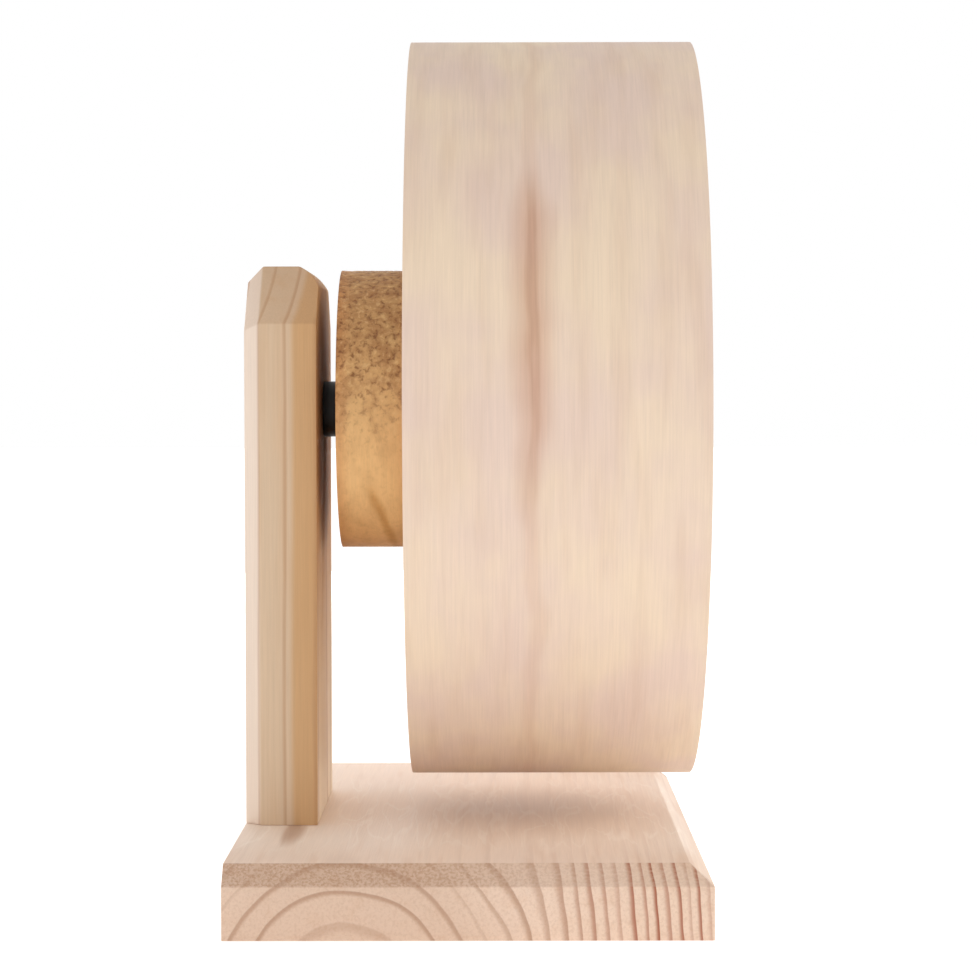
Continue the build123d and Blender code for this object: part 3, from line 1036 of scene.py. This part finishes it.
spacer_profile = [
    (spacer_low.y, bolt_hole_radius),
    (spacer_low.y, nose_radius),
    (spacer_low.y + nose_length, nose_radius),
    (spacer_low.y + nose_length, spacer_high.x),
    (spacer_high.y, spacer_high.x),
    (spacer_high.y, bolt_hole_radius),
]
spacer = onto_axle(new_turned("post_spacer", spacer_profile, fine_steps))
ease_edges(spacer, 0.35 * mm, 2, 50)
spacer_finish = Finish("black_plastic")
tool_lines = spacer_finish.noise(spacer_finish.stretched(spacer_finish.place, (0.1, 1, 0.1)), 2600, 2)
black = spacer_finish.mix(tool_lines, seen(22, 20, 20), seen(34, 31, 30))
spacer_finish.surface(black, 0.34 + tool_lines * 0.16, tool_lines, 0.02 * mm)
smooth(spacer_finish.wear(spacer))
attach(spacer, "stand")
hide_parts("axle_spacer")

# Axle bolt. An M8 furniture bolt of zinc plated steel with a low flat head and a hex socket. It is put in
# from inside the drum and screwed into the pronged nut, and clamps the bearing's inner race to the post.

bolt_low, bolt_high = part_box("axle_bolt")
bolt_radius = 3.95 * mm
bolt_core = 3.35 * mm
head_radius = bolt_high.x
head_back = 15.2 * mm
thread_start = 38.0 * mm
thread_pitch = 1.25 * mm
bolt_thread_steps = 32
socket_radius = 2.5 * mm / cos(pi / 6)
socket_depth = 3.6 * mm

bolt_profile = [
    (bolt_low.y, 0),
    (bolt_low.y, head_radius),
    (head_back, head_radius),
    (head_back, bolt_radius),
    (thread_start, bolt_radius),
    (thread_start + bolt_radius - bolt_core, bolt_core),
    (bolt_high.y - 0.6 * mm, bolt_core),
    (bolt_high.y, bolt_core - 0.6 * mm),
    (bolt_high.y, 0),
]
axle_bolt = new_turned("flat_head_bolt", bolt_profile, fine_steps)
socket_spot = (0, 0, bolt_low.y + socket_depth / 2 - mm / 2)
socket_size = {"radius": socket_radius, "depth": socket_depth + mm}
bpy.ops.mesh.primitive_cylinder_add(vertices=6, location=socket_spot, **socket_size)
cut_away(axle_bolt, settle(bpy.context.object))
ease_edges(axle_bolt, 0.3 * mm, 3, 50)
ridge_end = bolt_high.y - 0.4 * mm
ridge_height = bolt_radius - bolt_core + 0.1 * mm
ridge = new_thread(bolt_radius, ridge_height, thread_pitch, thread_start, ridge_end, bolt_thread_steps)
onto_axle(join(axle_bolt, ridge))
smooth(screw_finish.wear(axle_bolt))
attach(axle_bolt, "stand")
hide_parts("axle_bolt")

# Floor, light and camera. A white table in a light tent, with two weak lamps for the sides that face away
# from the camera. The camera looks across the drum's tread, a little above the axle. Its heading, pitch
# and roll are in radians.

camera_place = (-834.2 * mm, -7.4 * mm, 140.8 * mm)
camera_heading = 0.0027
camera_pitch = -0.0347
camera_roll = -0.0018
focal_pixels = 2875.6
frame_pixels = 977
sensor_width = 36.0

bpy.ops.object.camera_add(location=camera_place)
camera = bpy.context.object
aim = Euler((pi / 2 + camera_pitch, 0, camera_heading - pi / 2)).to_matrix()
camera.rotation_euler = (aim @ Matrix.Rotation(camera_roll, 3, "Z")).to_euler()
camera.data.sensor_width = sensor_width
camera.data.lens = sensor_width * focal_pixels / frame_pixels
bpy.context.scene.camera = camera

floor_size = 12.0
table_light = 0.42
table_seen = 0.5
wall_light = 2.6
roof_light = 0.72
roof_start = 0.2
lamp_width = 0.7
deselect()
bpy.ops.mesh.primitive_plane_add(size=floor_size)
floor = bpy.context.object
floor.name = "floor"
floor_finish = Finish("white_table")
floor_finish.surface(seen(244, 244, 244), 0.9)
seen_rays = floor_finish.node("LightPath", output="Is Camera Ray")
for kind in ("Is Glossy Ray", "Is Transmission Ray"):
    seen_rays = seen_rays + floor_finish.node("LightPath", output=kind)
strength = table_light + seen_rays * (table_seen - table_light)
glow = floor_finish.node("Emission", inputs={"Color": (1, 1, 1, 1), "Strength": strength})
lit = Value(floor_finish, floor_finish.shader.outputs[0])
table = floor_finish.node("AddShader", inputs={0: lit, 1: glow})
floor_finish.feed(floor_finish.tree.nodes["Material Output"].inputs[0], table)
floor_finish.wear(floor)

world = bpy.data.worlds.new("light_tent")
world.use_nodes = True
bpy.context.scene.world = world
tent_nodes = world.node_tree.nodes
tent = tent_nodes["Background"]
tent.inputs["Color"].default_value = (1, 1, 1, 1)
direction = tent_nodes.new("ShaderNodeTexCoord")
heights = tent_nodes.new("ShaderNodeSeparateXYZ")
falloff = tent_nodes.new("ShaderNodeMapRange")
falloff.inputs["From Min"].default_value = 0.0
falloff.inputs["From Max"].default_value = roof_start
falloff.inputs["To Min"].default_value = wall_light
falloff.inputs["To Max"].default_value = roof_light
backdrop = tent_nodes.new("ShaderNodeBackground")
backdrop.inputs["Color"].default_value = (1, 1, 1, 1)
rays = tent_nodes.new("ShaderNodeLightPath")
choice = tent_nodes.new("ShaderNodeMixShader")
glossy_too = tent_nodes.new("ShaderNodeMath")
all_seen = tent_nodes.new("ShaderNodeMath")
for start, end in (
    (direction.outputs["Generated"], heights.inputs[0]),
    (heights.outputs["Z"], falloff.inputs["Value"]),
    (falloff.outputs[0], tent.inputs["Strength"]),
    (rays.outputs["Is Camera Ray"], glossy_too.inputs[0]),
    (rays.outputs["Is Glossy Ray"], glossy_too.inputs[1]),
    (glossy_too.outputs[0], all_seen.inputs[0]),
    (rays.outputs["Is Transmission Ray"], all_seen.inputs[1]),
    (all_seen.outputs[0], choice.inputs[0]),
    (tent.outputs[0], choice.inputs[1]),
    (backdrop.outputs[0], choice.inputs[2]),
    (choice.outputs[0], tent_nodes["World Output"].inputs[0]),
):
    world.node_tree.links.new(start, end)


def softbox(name, place, aim_point, watts):
    """A square lamp that faces a point."""
    bpy.ops.object.light_add(type="AREA", location=place)
    lamp = bpy.context.object
    lamp.name = name
    lamp.data.size = lamp_width
    lamp.data.energy = watts
    lamp.rotation_euler = (Vector(aim_point) - Vector(place)).to_track_quat("-Z", "Y").to_euler()


softbox("open_side_softbox", (0.3, -1.2, 0.5), (0, 0, 0.02), 3.5)
softbox("back_softbox", (1.3, 0.3, 0.25), (0, 0, 0.05), 4.5)

bpy.context.scene.view_settings.view_transform = "Standard"
